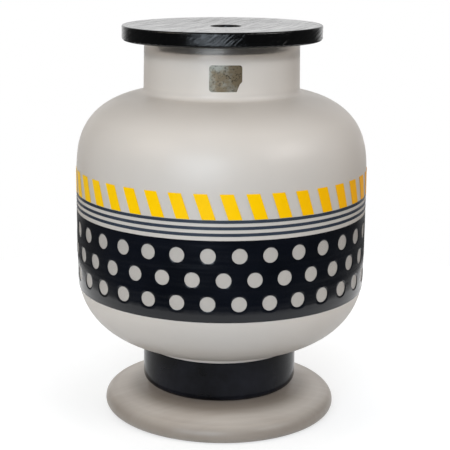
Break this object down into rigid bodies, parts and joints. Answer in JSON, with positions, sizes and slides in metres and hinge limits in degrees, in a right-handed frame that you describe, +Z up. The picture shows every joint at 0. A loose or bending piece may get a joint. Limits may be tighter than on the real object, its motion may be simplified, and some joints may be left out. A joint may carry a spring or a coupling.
{
  "type": "footed glass vase with lid",
  "caption": "Footed vase of satin glass with a wide round belly, enamel dots, lines and slanted bars, and a flat wooden lid with a finger hole.",
  "frame": {"origin": "centre of the foot's flat base", "axes": "+Z up along the vase's own axis; -Y is the front, where the label is; +X is to the right seen from the front"},
  "size_m": [0.2392, 0.2392, 0.3227],
  "materials": {
    "satin_glass": "satin, acid-etched outside",
    "black_enamel": "gloss fired enamel",
    "yellow_enamel": "satin fired enamel",
    "stained_wood": "black-stained, lacquered, open grain",
    "foil_label": "aged foil"
  },
  "bodies": {
    "vase": {"glass_vessel": "satin_glass", "glass_foot": "satin_glass", "enamel_dotted_band": "black_enamel", "enamel_stem_band": "black_enamel", "enamel_line_1": "black_enamel", "enamel_line_2": "black_enamel", "enamel_line_3": "black_enamel", "yellow_bar_01": "yellow_enamel", "yellow_bar_02": "yellow_enamel", "yellow_bar_03": "yellow_enamel", "yellow_bar_04": "yellow_enamel", "yellow_bar_05": "yellow_enamel", "yellow_bar_06": "yellow_enamel", "yellow_bar_07": "yellow_enamel", "yellow_bar_08": "yellow_enamel", "yellow_bar_09": "yellow_enamel", "yellow_bar_10": "yellow_enamel", "yellow_bar_11": "yellow_enamel", "yellow_bar_12": "yellow_enamel", "yellow_bar_13": "yellow_enamel", "yellow_bar_14": "yellow_enamel", "yellow_bar_15": "yellow_enamel", "yellow_bar_16": "yellow_enamel", "yellow_bar_17": "yellow_enamel", "yellow_bar_18": "yellow_enamel", "yellow_bar_19": "yellow_enamel", "yellow_bar_20": "yellow_enamel", "yellow_bar_21": "yellow_enamel", "yellow_bar_22": "yellow_enamel", "yellow_bar_23": "yellow_enamel", "yellow_bar_24": "yellow_enamel", "yellow_bar_25": "yellow_enamel", "yellow_bar_26": "yellow_enamel", "yellow_bar_27": "yellow_enamel", "yellow_bar_28": "yellow_enamel", "yellow_bar_29": "yellow_enamel", "yellow_bar_30": "yellow_enamel", "yellow_bar_31": "yellow_enamel", "yellow_bar_32": "yellow_enamel", "yellow_bar_33": "yellow_enamel", "yellow_bar_34": "yellow_enamel", "yellow_bar_35": "yellow_enamel", "yellow_bar_36": "yellow_enamel", "yellow_bar_37": "yellow_enamel", "yellow_bar_38": "yellow_enamel", "neck_label": "foil_label"},
    "lid": {"lid_disc": "stained_wood", "lid_plug": "stained_wood"}
  },
  "joints": [
    {"name": "lid_lift", "type": "slide", "parent": "vase", "child": "lid", "axis": [0, 0, 1], "range_m": [0, 0.12]}
  ]
}
